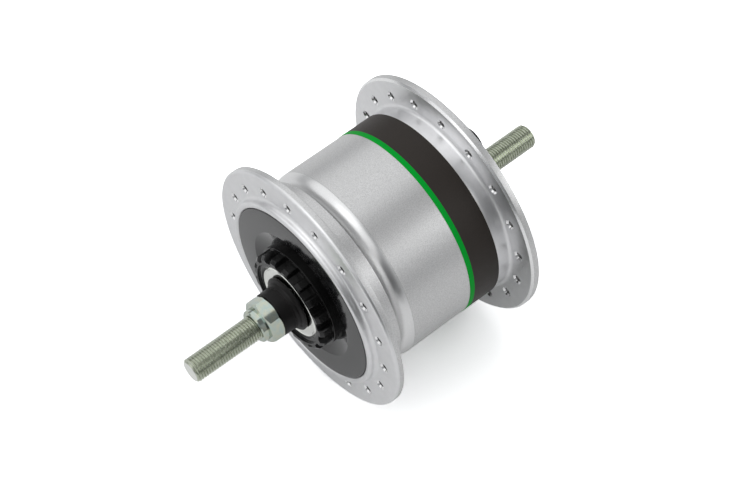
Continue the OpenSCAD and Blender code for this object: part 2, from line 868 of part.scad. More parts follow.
module rotor_magnets() {
    color("#46474b")
        for (i = [0:magnet_count - 1])
            toward(i * 360 / magnet_count)
                raised(stator_right_y, stator_left_y)
                    sector(magnet_in_r, magnet_r, magnet_half);
}

// Rubber ring that seals the spigot in the shell
module shell_seal() {
    color("#1d1d1f")
        turned(arc(seal_r, seal_y, seal_d / 2, 0, 360, 24));
}

module label_band() {
    color("#3a3330")
        ring(shell_r, shell_r + film_t, band_y, stripe_y);
}

module label_stripe() {
    color("#0c9a34")
        ring(shell_r, shell_r + film_t, stripe_y, stripe_y + stripe_w);
}

module left_balls() {
    color("#cfd3d6")
        balls(left_ball_y);
}

module left_ball_cage() {
    color("#b98a3c")
        ball_cage(left_ball_y, 1);
}

module right_balls() {
    color("#cfd3d6")
        balls(right_ball_y);
}

module right_ball_cage() {
    color("#b98a3c")
        ball_cage(right_ball_y, -1);
}

axle();
left_lock_nut();
left_cone();
left_boot();
right_cone();
right_seal();
terminal_block();
terminal_contacts();
lead_wire();
earth_washer();
right_lock_nut();
stator_nut();
stator_core_left();
stator_core_right();
core_tube();
coil_bobbin();
coil_winding();
coil_tape();
hub_shell();
right_flange();
brake_side_plate();
brake_spline_ring();
left_bearing_cup();
left_dust_cap();
right_bearing_cup();
right_dust_cap();
rotor_yoke();
rotor_magnets();
shell_seal();
label_band();
label_stripe();
left_balls();
left_ball_cage();
right_balls();
right_ball_cage();
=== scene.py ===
"""Looks of a hub dynamo: a front bicycle hub with a generator inside, dressed round its solids."""

import json
import math

import bmesh
import bpy
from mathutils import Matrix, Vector


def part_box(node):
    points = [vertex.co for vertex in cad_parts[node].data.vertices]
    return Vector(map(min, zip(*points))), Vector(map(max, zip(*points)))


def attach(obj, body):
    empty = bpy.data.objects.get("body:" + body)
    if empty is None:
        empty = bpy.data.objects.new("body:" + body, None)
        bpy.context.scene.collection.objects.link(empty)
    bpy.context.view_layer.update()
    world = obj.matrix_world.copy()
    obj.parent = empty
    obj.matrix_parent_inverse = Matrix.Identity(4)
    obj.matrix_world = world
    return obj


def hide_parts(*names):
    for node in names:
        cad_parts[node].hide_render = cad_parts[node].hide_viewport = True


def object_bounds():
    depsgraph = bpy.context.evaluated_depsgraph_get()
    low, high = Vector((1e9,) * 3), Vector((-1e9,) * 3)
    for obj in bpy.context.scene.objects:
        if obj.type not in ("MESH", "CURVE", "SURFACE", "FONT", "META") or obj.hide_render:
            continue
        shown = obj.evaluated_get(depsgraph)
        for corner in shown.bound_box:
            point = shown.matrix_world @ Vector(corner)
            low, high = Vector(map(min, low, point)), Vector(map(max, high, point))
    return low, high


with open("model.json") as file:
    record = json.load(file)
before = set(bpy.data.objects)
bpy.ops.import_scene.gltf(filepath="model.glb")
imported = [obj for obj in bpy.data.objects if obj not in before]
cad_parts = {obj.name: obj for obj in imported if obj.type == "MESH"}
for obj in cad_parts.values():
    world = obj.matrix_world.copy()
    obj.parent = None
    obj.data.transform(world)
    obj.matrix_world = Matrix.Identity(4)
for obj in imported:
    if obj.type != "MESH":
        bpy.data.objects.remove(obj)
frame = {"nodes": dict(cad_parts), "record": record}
cad_low, cad_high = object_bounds()

MM = 0.001
MOUNTS = {mount["name"]: mount for mount in frame["record"]["mounts"]}


def box_mm(node):
    """Lowest and highest corner of a solid, in millimetres."""
    low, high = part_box(node)
    return low / MM, high / MM


# Camera: its place in metres, the way it looks in degrees and its lens in millimetres
CAMERA_PLACE = (-0.30165, 0.24878, 0.60485)
CAMERA_AZIMUTH = 230.003
CAMERA_ELEVATION = 57.142
CAMERA_LENS = 102.19


def direction(azimuth, elevation):
    """Unit vector from the object towards a place round it; azimuth 0 is towards -Y."""
    a = math.radians(azimuth)
    e = math.radians(elevation)
    return Vector((math.sin(a) * math.cos(e), -math.cos(a) * math.cos(e), math.sin(e)))


def make_camera():
    data = bpy.data.cameras.new("camera")
    data.lens = CAMERA_LENS
    camera = bpy.data.objects.new("camera", data)
    camera.location = CAMERA_PLACE
    camera.rotation_mode = "QUATERNION"
    looking = -direction(CAMERA_AZIMUTH, CAMERA_ELEVATION)
    camera.rotation_quaternion = looking.to_track_quat("-Z", "Y")
    bpy.context.scene.collection.objects.link(camera)
    bpy.context.scene.camera = camera


make_camera()
bpy.context.scene.view_settings.view_transform = "Standard"

# Light: softboxes as (name, azimuth, elevation, distance in metres, size in metres, watts)
SOFTBOXES = [
    ("key_softbox", 95, 55, 0.95, 1.5, 4.8),
    ("top_softbox", 190, 62, 0.95, 1.2, 2.5),
    ("right_softbox", 320, 28, 2.0, 1.26, 10.5),
    ("left_softbox", 160, 14, 2.0, 1.6, 4.4),
]
WORLD_COLOR = (0.96, 0.98, 1.0, 1)
WORLD_STRENGTH = 0.38
# Unlit parts of the studio: azimuth, elevation, inner and outer radius in degrees, and strength
UNLIT_PARTS = [(243, 8, 0, 53, 0.1), (318, 60, 13, 24, 0.22)]
# Floor: its level, what is added to it for the camera and for mirrors, and half its width in metres.
# Nothing is added for mirrors, so metal shows the floor at its own level.
FLOOR_LEVEL = 0.9
FLOOR_SEEN_GAIN = 1.1
FLOOR_MIRRORED_GAIN = 0.0
FLOOR_HALF = 4.0


def make_softbox(name, azimuth, elevation, distance, size, watts):
    data = bpy.data.lights.new(name, "AREA")
    data.size = size
    data.energy = watts
    lamp = bpy.data.objects.new(name, data)
    towards = direction(azimuth, elevation)
    lamp.location = towards * distance
    lamp.rotation_mode = "QUATERNION"
    lamp.rotation_quaternion = (-towards).to_track_quat("-Z", "Y")
    bpy.context.scene.collection.objects.link(lamp)


def make_world():
    """Even light from all round, which fades out towards the unlit parts of the studio."""
    world = bpy.data.worlds.new("studio")
    world.use_nodes = True
    nodes = world.node_tree.nodes
    links = world.node_tree.links
    background = nodes["Background"]
    background.inputs["Color"].default_value = WORLD_COLOR
    place = nodes.new("ShaderNodeTexCoord")
    level = None
    for azimuth, elevation, inner, outer, strength in UNLIT_PARTS:
        facing = nodes.new("ShaderNodeVectorMath")
        facing.operation = "DOT_PRODUCT"
        facing.inputs[1].default_value = direction(azimuth, elevation)
        links.new(place.outputs["Generated"], facing.inputs[0])
        fade = nodes.new("ShaderNodeMapRange")
        fade.interpolation_type = "SMOOTHSTEP"
        fade.inputs["From Min"].default_value = math.cos(math.radians(outer))
        fade.inputs["From Max"].default_value = math.cos(math.radians(inner))
        fade.inputs["To Min"].default_value = WORLD_STRENGTH
        fade.inputs["To Max"].default_value = strength
        links.new(facing.outputs["Value"], fade.inputs["Value"])
        if level:
            links.new(level, fade.inputs["To Min"])
        level = fade.outputs["Result"]
    links.new(level, background.inputs["Strength"])
    bpy.context.scene.world = world


def make_floor_material():
    """Pale floor: white to the camera, at its own level in mirrors, and with the object's shadow."""
    made = bpy.data.materials.new("floor_white")
    made.use_nodes = True
    nodes = made.node_tree.nodes
    links = made.node_tree.links
    nodes.remove(nodes["Principled BSDF"])
    shader = nodes.new("ShaderNodeBsdfDiffuse")
    path = nodes.new("ShaderNodeLightPath")
    gains = (
        ("Is Camera Ray", FLOOR_SEEN_GAIN),
        ("Is Glossy Ray", FLOOR_MIRRORED_GAIN),
        ("Is Transmission Ray", FLOOR_MIRRORED_GAIN),
    )
    level = None
    for ray, gain in gains:
        step = nodes.new("ShaderNodeMath")
        step.operation = "MULTIPLY_ADD"
        step.inputs[1].default_value = gain
        step.inputs[2].default_value = FLOOR_LEVEL
        links.new(path.outputs[ray], step.inputs[0])
        if level:
            links.new(level, step.inputs[2])
        level = step.outputs[0]
    links.new(level, shader.inputs["Color"])
    links.new(shader.outputs[0], nodes["Material Output"].inputs["Surface"])
    return made


def make_floor():
    h = FLOOR_HALF
    z = cad_low.z
    mesh = bpy.data.meshes.new("floor")
    mesh.from_pydata([(-h, -h, z), (h, -h, z), (h, h, z), (-h, h, z)], [], [(0, 1, 2, 3)])
    mesh.materials.append(make_floor_material())
    floor = bpy.data.objects.new("floor", mesh)
    bpy.context.scene.collection.objects.link(floor)


make_world()
make_floor()
for softbox in SOFTBOXES:
    make_softbox(*softbox)


# Materials

# Range that a noise pattern mostly stays in, and how many finer layers it has
PATTERN_LOW = 0.3
PATTERN_HIGH = 0.7
NOISE_DETAIL = 2.0


class Finish:
    """A procedural material that is built up step by step on one Principled shader."""

    def __init__(self, name, color, metallic, roughness):
        self.material = bpy.data.materials.new(name)
        self.material.use_nodes = True
        self.nodes = self.material.node_tree.nodes
        self.links = self.material.node_tree.links
        self.shader = self.nodes["Principled BSDF"]
        self.place = self.nodes.new("ShaderNodeTexCoord").outputs["Object"]
        self.normal = None
        self.set("Base Color", (*color, 1))
        self.set("Metallic", metallic)
        self.set("Roughness", roughness)

    def set(self, socket, value):
        self.shader.inputs[socket].default_value = value
        return self

    def noise(self, size_mm, place=None):
        """Noise whose patches are about this size."""
        texture = self.nodes.new("ShaderNodeTexNoise")
        texture.inputs["Scale"].default_value = 1 / (size_mm * MM)
        texture.inputs["Detail"].default_value = NOISE_DETAIL
        self.links.new(place or self.place, texture.inputs["Vector"])
        return texture.outputs["Fac"]

    def turned(self, size_mm):
        """Noise that runs in rings round the axle, as a lathe leaves it."""
        apart = self.nodes.new("ShaderNodeSeparateXYZ")
        self.links.new(self.place, apart.inputs[0])
        flat = self.nodes.new("ShaderNodeCombineXYZ")
        self.links.new(apart.outputs["X"], flat.inputs["X"])
        self.links.new(apart.outputs["Z"], flat.inputs["Z"])
        radius = self.nodes.new("ShaderNodeVectorMath")
        radius.operation = "LENGTH"
        self.links.new(flat.outputs[0], radius.inputs[0])
        rings = self.nodes.new("ShaderNodeCombineXYZ")
        self.links.new(radius.outputs["Value"], rings.inputs["X"])
        self.links.new(apart.outputs["Y"], rings.inputs["Y"])
        return self.noise(size_mm, rings.outputs[0])

    def tint(self, pattern, dark, light):
        """Colour that follows a pattern."""
        ramp = self.nodes.new("ShaderNodeValToRGB")
        ramp.color_ramp.elements[0].position = PATTERN_LOW
        ramp.color_ramp.elements[0].color = (*dark, 1)
        ramp.color_ramp.elements[1].position = PATTERN_HIGH
        ramp.color_ramp.elements[1].color = (*light, 1)
        self.links.new(pattern, ramp.inputs["Fac"])
        self.links.new(ramp.outputs["Color"], self.shader.inputs["Base Color"])
        return self

    def polish(self, pattern, smooth, rough):
        """Roughness that follows a pattern."""
        span = self.nodes.new("ShaderNodeMapRange")
        span.inputs["From Min"].default_value = PATTERN_LOW
        span.inputs["From Max"].default_value = PATTERN_HIGH
        span.inputs["To Min"].default_value = smooth
        span.inputs["To Max"].default_value = rough
        self.links.new(pattern, span.inputs["Value"])
        self.links.new(span.outputs["Result"], self.shader.inputs["Roughness"])
        return self

    def bump(self, pattern, height_mm):
        """Fine relief that follows a pattern."""
        relief = self.nodes.new("ShaderNodeBump")
        relief.inputs["Distance"].default_value = height_mm * MM
        self.links.new(pattern, relief.inputs["Height"])
        if self.normal:
            self.links.new(self.normal, relief.inputs["Normal"])
        self.normal = relief.outputs["Normal"]
        self.links.new(self.normal, self.shader.inputs["Normal"])
        return self


def grey(level, blue=1.0):
    return (level, level, level * blue)


def sand_silver():
    made = Finish("sand_silver", grey(0.62), 0.8, 0.38)
    speck = made.noise(0.3)
    made.tint(speck, grey(0.52), grey(0.72)).polish(made.noise(0.5), 0.35, 0.41)
    return made.bump(speck, 0.008).material


def satin_silver():
    made = Finish("satin_silver", grey(0.78, 1.01), 1.0, 0.36)
    rings = made.turned(0.25)
    made.tint(made.noise(3.0), grey(0.76, 1.01), grey(0.8, 1.01)).polish(rings, 0.33, 0.38)
    return made.bump(rings, 0.0003).material


def smooth_silver():
    made = Finish("smooth_silver", grey(0.78), 1.0, 0.3)
    speck = made.noise(0.3)
    made.tint(speck, grey(0.74), grey(0.82)).polish(made.noise(1.5), 0.28, 0.32)
    return made.bump(speck, 0.002).material


def cut_metal():
    made = Finish("cut_metal", grey(0.88), 1.0, 0.18)
    return made.tint(made.noise(0.6), grey(0.85), grey(0.91)).polish(made.noise(0.3), 0.15, 0.22).material


# Dark grey on the bores of the spoke holes is painted shade inside the holes, not the colour of the bare
# metal
def bore_metal():
    made = Finish("bore_metal", grey(0.24), 1.0, 0.3)
    return made.tint(made.noise(0.6), grey(0.2), grey(0.28)).polish(made.noise(0.3), 0.26, 0.36).material


def plate_gloss():
    made = Finish("plate_gloss", grey(0.006), 0.0, 0.11).set("Specular IOR Level", 0.85)
    made.tint(made.noise(3.0), grey(0.005, 1.05), grey(0.007, 1.05)).polish(made.noise(4.0), 0.09, 0.13)
    return made.bump(made.turned(0.3), 0.0002).material


def gloss_black():
    made = Finish("gloss_black", grey(0.005), 0.0, 0.15).set("Specular IOR Level", 0.3)
    wear = made.noise(1.5)
    return made.tint(wear, grey(0.004), grey(0.007)).polish(made.noise(0.8), 0.11, 0.2).material


def rubber_black():
    made = Finish("rubber_black", grey(0.006), 0.0, 0.4).set("Specular IOR Level", 0.2)
    speck = made.noise(0.25)
    made.tint(made.noise(2.5), (0.005, 0.0045, 0.0045), (0.008, 0.007, 0.007)).polish(speck, 0.34, 0.46)
    return made.bump(speck, 0.003).material


def pale_steel():
    made = Finish("pale_steel", grey(0.84), 1.0, 0.12)
    rings = made.turned(0.3)
    made.tint(made.noise(2.0), (0.82, 0.83, 0.79), (0.87, 0.88, 0.84)).polish(rings, 0.1, 0.15)
    return made.material


def bright_zinc():
    made = Finish("bright_zinc", (0.5, 0.55, 0.49), 1.0, 0.1)
    cloud = made.noise(1.8)
    made.tint(cloud, (0.45, 0.54, 0.51), (0.56, 0.57, 0.46)).polish(made.noise(0.6), 0.08, 0.12)
    return made.material


def olive_zinc():
    made = Finish("olive_zinc", (0.5, 0.51, 0.42), 1.0, 0.26)
    cloud = made.noise(1.4)
    made.tint(cloud, (0.46, 0.49, 0.4), (0.58, 0.61, 0.52)).polish(made.noise(0.5), 0.2, 0.28)
    return made.material


def band_film():
    made = Finish("band_film", (0.026, 0.021, 0.017), 0.0, 0.5).set("Specular IOR Level", 0.25)
    cloud = made.noise(0.4)
    return made.tint(cloud, (0.023, 0.018, 0.015), (0.029, 0.023, 0.019)).polish(cloud, 0.45, 0.55).material


def stripe_film():
    made = Finish("stripe_film", (0.0, 0.34, 0.03), 0.0, 0.5).set("Specular IOR Level", 0.05)
    cloud = made.noise(0.4)
    return made.tint(cloud, (0.0, 0.33, 0.027), (0.001, 0.36, 0.033)).polish(cloud, 0.45, 0.55).material


def moulded_black():
    made = Finish("moulded_black", grey(0.01), 0.0, 0.5).set("Specular IOR Level", 0.2)
    speck = made.noise(0.2)
    made.tint(made.noise(2.0), grey(0.008), grey(0.014)).polish(speck, 0.45, 0.55)
    return made.bump(speck, 0.006).material


def speckled(name, dark, light, metallic, smooth, rough, size_mm=0.8, height_mm=0.004):
    """Finish of a piece inside the hub."""
    made = Finish(name, dark, metallic, rough)
    cloud = made.noise(size_mm)
    return made.tint(cloud, dark, light).polish(cloud, smooth, rough).bump(cloud, height_mm).material


SAND = sand_silver()
SATIN = satin_silver()
SMOOTH = smooth_silver()
CUT = cut_metal()
BORE_PAINTED_SHADE = bore_metal()
PLATE = plate_gloss()
BLACK = gloss_black()
RUBBER = rubber_black()
PALE = pale_steel()
ZINC = bright_zinc()
OLIVE = olive_zinc()
BAND = band_film()
STRIPE = stripe_film()
MOULDED = moulded_black()
BEARING = speckled("bearing_steel", grey(0.5, 1.02), grey(0.62, 1.02), 1.0, 0.12, 0.22)
BRASS = speckled("contact_brass", (0.62, 0.43, 0.16), (0.76, 0.56, 0.24), 1.0, 0.2, 0.34)
CORE = speckled("core_steel", grey(0.24), grey(0.34), 1.0, 0.3, 0.45)
BOBBIN = speckled("bobbin_plastic", (0.76, 0.73, 0.63), (0.83, 0.8, 0.71), 0.0, 0.4, 0.5)
COPPER = speckled("coil_copper", (0.45, 0.16, 0.06), (0.62, 0.26, 0.1), 0.9, 0.25, 0.4, 0.3, 0.05)
TAPE = speckled("coil_tape", (0.64, 0.52, 0.15), (0.74, 0.62, 0.2), 0.0, 0.3, 0.4)
FERRITE = speckled("magnet_ferrite", grey(0.05), grey(0.075), 0.3, 0.45, 0.6)
WIRE = speckled("wire_red", (0.4, 0.04, 0.03), (0.48, 0.06, 0.05), 0.0, 0.35, 0.5)

NODE_FINISHES = {
    "left_cone": BEARING, "right_cone": BEARING, "left_bearing_cup": BEARING,
    "right_bearing_cup": BEARING, "left_balls": BEARING, "right_balls": BEARING,
    "left_ball_cage": BRASS, "right_ball_cage": BRASS, "terminal_contacts": BRASS,
    "terminal_block": MOULDED, "lead_wire": WIRE, "earth_washer": ZINC, "stator_nut": ZINC,
    "stator_core_left": CORE, "stator_core_right": CORE, "core_tube": CORE, "rotor_yoke": CORE,
    "rotor_magnets": FERRITE, "coil_bobbin": BOBBIN, "coil_winding": COPPER, "coil_tape": TAPE,
    "shell_seal": RUBBER, "label_band": BAND, "label_stripe": STRIPE,
}
for node_name, finish in NODE_FINISHES.items():
    solid = frame["nodes"][node_name].data
    solid.materials.clear()
    solid.materials.append(finish)


# Mesh building, in millimetres round the axle

SEGMENTS = 192
ARC_STEPS = 8
SHARP_ANGLE = math.radians(32)


def arc_points(last, corner, following, rounding):
    """Points of the arc that rounds one corner of an outline."""
    to_last = (last - corner).normalized()
    to_next = (following - corner).normalized()
    half = to_last.angle(to_next) / 2
    reach = rounding / math.tan(half)
    middle = corner + (to_last + to_next).normalized() * rounding / math.sin(half)
    start = corner + to_last * reach - middle
    end = corner + to_next * reach - middle
    first = math.atan2(start.y, start.x)
    sweep = math.remainder(math.atan2(end.y, end.x) - first, 2 * math.pi)
    angles = [first + sweep * step / ARC_STEPS for step in range(ARC_STEPS + 1)]
    return [middle + rounding * Vector((math.cos(a), math.sin(a))) for a in angles]


def rounded(corners):
    """Closed outline of points with arcs at its rounded corners; each point keeps its corner's finish."""
    outline = []
    for index, (across, along, rounding, finish) in enumerate(corners):
        corner = Vector((across, along))
        points = [corner]
        if rounding:
            last = Vector(corners[index - 1][:2])
            following = Vector(corners[(index + 1) % len(corners)][:2])
            points = arc_points(last, corner, following, rounding)
        outline += [(point, finish) for point in points]
    return outline


def ring(radius, y, angles):
    return [(radius * math.cos(a), y, radius * math.sin(a)) for a in angles]


def even_angles(count=SEGMENTS):
    return [2 * math.pi * step / count for step in range(count)]


def finish_mesh(piece):
    """Faces outward, smooth shading and sharp edges where the shape turns sharply."""
    shape = bmesh.new()
    shape.from_mesh(piece.data)
    bmesh.ops.recalc_face_normals(shape, faces=shape.faces)
    shape.to_mesh(piece.data)
    shape.free()
    piece.data.shade_smooth()
    piece.data.set_sharp_from_angle(angle=SHARP_ANGLE)


def skin(name, rings, finishes, capped=False):
    """A piece whose skin runs through rings of points; the last ring joins the first, or both are capped."""
    count = len(rings[0])
    gaps = len(rings) - 1 if capped else len(rings)
    kinds = list(dict.fromkeys(finishes))
    faces = []
    slots = []
    for gap in range(gaps):
        here = gap * count
        there = (gap + 1) % len(rings) * count
        for i in range(count):
            j = (i + 1) % count
            # This order splits each face along the slant of a right-hand thread
            faces.append((here + j, there + j, there + i, here + i))
            slots.append(kinds.index(finishes[gap]))
    if capped:
        faces += [tuple(range(count)), tuple(range(gaps * count, (gaps + 1) * count))]
        slots += [kinds.index(finishes[0]), kinds.index(finishes[-1])]
    mesh = bpy.data.meshes.new(name)
    mesh.from_pydata([Vector(p) * MM for one in rings for p in one], [], faces)
    for kind in kinds:
        mesh.materials.append(kind)
    mesh.polygons.foreach_set("material_index", slots)
    piece = bpy.data.objects.new(name, mesh)
    bpy.context.scene.collection.objects.link(piece)
    finish_mesh(piece)
    return piece


def turned(name, corners, count=SEGMENTS):
    """A ring-shaped piece turned from an outline of (radius, y, rounding, finish) corners."""
    outline = rounded(corners)
    angles = even_angles(count)
    rings = [ring(point.x, point.y, angles) for point, finish in outline]
    return skin(name, rings, [finish for point, finish in outline])


def dress(piece, body, slot, *nodes):
    """Puts a piece in the place of its solid."""
    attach(piece, body)
    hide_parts(*nodes)


# Flanges and shell

SEAT_GAP = 0.02
FLANGE_T = 3.0
FLANGE_R = box_mm("right_flange")[1].z
RIM_ROUND = 1.0
RIM_BACK_ROUND = 0.2
RIM_CHAMFER = 0.75
FINE_ROUND = 0.12
FOOT_FILLET = 1.4
LEFT_MID_Y = MOUNTS["spokes_left"]["pos_m"][1] / MM
RIGHT_MID_Y = MOUNTS["spokes_right"]["pos_m"][1] / MM
SPOKE_CIRCLE_R = MOUNTS["spokes_left"]["dims"]["pcd_mm"] / 2
SPOKE_COUNT = MOUNTS["spokes_left"]["dims"]["count"]
HOLE_R = MOUNTS["spokes_left"]["dims"]["hole_r_mm"]
HOLE_CHAMFER = 0.6
HOLE_PHASE = -2.0
HOLE_PITCH = 360 / SPOKE_COUNT
HOLE_SIDES = 32
# How far a cutter runs past the face that it cuts
PAST = 1.0

FILM_T = 0.1
BAND_END_Y = box_mm("label_band")[0].y
SHELL_R = box_mm("label_band")[1].z - FILM_T
END_LINE_W = 0.2
SHELL_END_Y = BAND_END_Y - END_LINE_W
SHELL_WALL = 2.6
BORE_R = SHELL_R - SHELL_WALL
NECK_RISE = 0.2
NECK_LEN = 7.4
NECK_R = SHELL_R + NECK_RISE
NECK_END_Y = LEFT_MID_Y - FLANGE_T / 2 - NECK_LEN
GROOVE_W = 0.9
SHOULDER_ROUND = 5.0
SHOULDER_Y = NECK_END_Y - GROOVE_W - SHOULDER_ROUND
SHOULDER_SWEEP = math.radians(76)
LINE_DEPTH = 0.08
WEB_T = 3.5
PLATE_LOW, PLATE_HIGH = box_mm("brake_side_plate")
PLATE_T = 1.5
PLATE_SEAT_R = PLATE_HIGH.x + SEAT_GAP
LEDGE_Y = PLATE_HIGH.y - PLATE_T
LEDGE_W = 2.2
LEDGE_R = PLATE_SEAT_R - LEDGE_W
BEAD_RISE = 0.2
BEAD_TOP_Y = PLATE_HIGH.y + BEAD_RISE
BEAD_ROUND = 1.2
CUP_R = box_mm("left_bearing_cup")[1].x
BOSS_WALL = 2.9
BOSS_R = CUP_R + BOSS_WALL
BOSS_BORE_R = CUP_R + SEAT_GAP
CUP_SEAT_W = 0.8
SEAT_BORE_R = CUP_R - CUP_SEAT_W
CAP_SEAT_R = box_mm("left_dust_cap")[1].x + SEAT_GAP
COLLAR_STEP = 0.2
COLLAR_R = SHELL_R - COLLAR_STEP
SPIGOT_R = BORE_R - SEAT_GAP
SPIGOT_WALL = 2.6
CUP_FLOOR_T = 1.2
RECESS_DEPTH = 1.5
RECESS_ROUND = 0.4
BOSS_FOOT_ROUND = 0.6
BOSS_EDGE_ROUND = 0.5
SEAT_EDGE_ROUND = 0.2


def hole_cutters(phase, mid_y):
    """One mesh that holds the chamfered spoke holes of a flange."""
    low = mid_y - FLANGE_T / 2
    high = mid_y + FLANGE_T / 2
    mouth = HOLE_R + HOLE_CHAMFER
    steps = [(mouth + PAST, low - PAST), (mouth, low), (HOLE_R, low + HOLE_CHAMFER),
             (HOLE_R, high - HOLE_CHAMFER), (mouth, high), (mouth + PAST, high + PAST)]
    shape = bmesh.new()
    for number in range(SPOKE_COUNT):
        turn = math.radians(phase + number * HOLE_PITCH)
        centre = Vector((SPOKE_CIRCLE_R * math.cos(turn), 0, SPOKE_CIRCLE_R * math.sin(turn)))
        rows = [[shape.verts.new((Vector(p) + centre) * MM) for p in ring(r, y, even_angles(HOLE_SIDES))]
                for r, y in steps]
        for step, (upper, lower) in enumerate(zip(rows, rows[1:])):
            for i in range(HOLE_SIDES):
                face = shape.faces.new((upper[i], upper[i - 1], lower[i - 1], lower[i]))
                is_bore = steps[step][0] == steps[step + 1][0]
                # Bore faces get the dark painted shade, chamfer faces the bright cut metal
                face.material_index = int(is_bore)
        shape.faces.new(rows[0])
        shape.faces.new(rows[-1])
    bmesh.ops.recalc_face_normals(shape, faces=shape.faces)
    mesh = bpy.data.meshes.new("spoke_holes")
    shape.to_mesh(mesh)
    shape.free()
    mesh.materials.append(CUT)
    mesh.materials.append(BORE_PAINTED_SHADE)
    return mesh


def drill(piece, phase, mid_y):
    """Cuts the spoke holes of one flange."""
    cutter = bpy.data.objects.new("spoke_holes", hole_cutters(phase, mid_y))
    bpy.context.scene.collection.objects.link(cutter)
    cut = piece.modifiers.new("spoke_holes", "BOOLEAN")
    cut.object = cutter
    cut.operation = "DIFFERENCE"
    cut.solver = "EXACT"
    cut.material_mode = "TRANSFER"
    seen = piece.evaluated_get(bpy.context.evaluated_depsgraph_get())
    drilled = bpy.data.meshes.new_from_object(seen)
    piece.modifiers.clear()
    piece.data = drilled
    bpy.data.objects.remove(cutter)
    finish_mesh(piece)


def make_hub_shell():
    """Shell with the brake-side flange; the outline runs over the outside and back through the inside."""
    face_y = LEFT_MID_Y + FLANGE_T / 2
    back_y = LEFT_MID_Y - FLANGE_T / 2
    web_y = PLATE_LOW.y
    cup_low, cup_high = box_mm("left_bearing_cup")
    cusp_r = SHELL_R - SHOULDER_ROUND * (1 - math.cos(SHOULDER_SWEEP))
    cusp_y = SHOULDER_Y + SHOULDER_ROUND * math.sin(SHOULDER_SWEEP)
    crest_y = SHOULDER_Y + SHOULDER_ROUND * math.tan(SHOULDER_SWEEP / 2)
    line_y = SHOULDER_Y - LINE_DEPTH
    piece = turned("hub_shell_dressed", [
        (FLANGE_R, face_y, RIM_ROUND, SATIN),
        (FLANGE_R, face_y - RIM_ROUND - FINE_ROUND, 0, SAND),
        (FLANGE_R, back_y, RIM_BACK_ROUND, SAND),
        (NECK_R, back_y, FOOT_FILLET, SAND),
        (NECK_R, NECK_END_Y, FINE_ROUND, SMOOTH),
        (cusp_r, NECK_END_Y, 0, SMOOTH),
        (cusp_r, cusp_y, 0, SMOOTH),
        (SHELL_R, crest_y, SHOULDER_ROUND - SEAT_GAP, SMOOTH),
        (SHELL_R, line_y, 0, SMOOTH),
        (SHELL_R - LINE_DEPTH, line_y - LINE_DEPTH, 0, SAND),
        (SHELL_R, line_y - 2 * LINE_DEPTH, 0, SAND),
        (SHELL_R, BAND_END_Y, 0, SMOOTH),
        (SHELL_R, SHELL_END_Y, FINE_ROUND, SMOOTH),
        (BORE_R, SHELL_END_Y, 0, SATIN),
        (BORE_R, SHOULDER_Y - SHOULDER_ROUND, 0, SATIN),
        (BORE_R - SHOULDER_ROUND, SHOULDER_Y, 0, SATIN),
        (BORE_R - SHOULDER_ROUND, web_y - WEB_T, 0, SATIN),
        (SEAT_BORE_R, web_y - WEB_T, 0, SATIN),
        (SEAT_BORE_R, cup_low.y, 0, SATIN),
        (BOSS_BORE_R, cup_low.y, 0, SATIN),
        (BOSS_BORE_R, cup_high.y, 0, SATIN),
        (BOSS_R, cup_high.y, 0, SATIN),
        (BOSS_R, web_y, 0, SATIN),
        (LEDGE_R, web_y, 0, SATIN),
        (LEDGE_R, LEDGE_Y, 0, SATIN),
        (PLATE_SEAT_R, LEDGE_Y, 0, SATIN),
        (PLATE_SEAT_R, BEAD_TOP_Y, BEAD_ROUND, SATIN),
        (SHELL_R, BEAD_TOP_Y, BEAD_ROUND, SATIN),
        (SHELL_R, face_y, FOOT_FILLET, SATIN),
    ])
    drill(piece, HOLE_PHASE, LEFT_MID_Y)
    dress(piece, "hub_body", "shell_silver", "hub_shell")


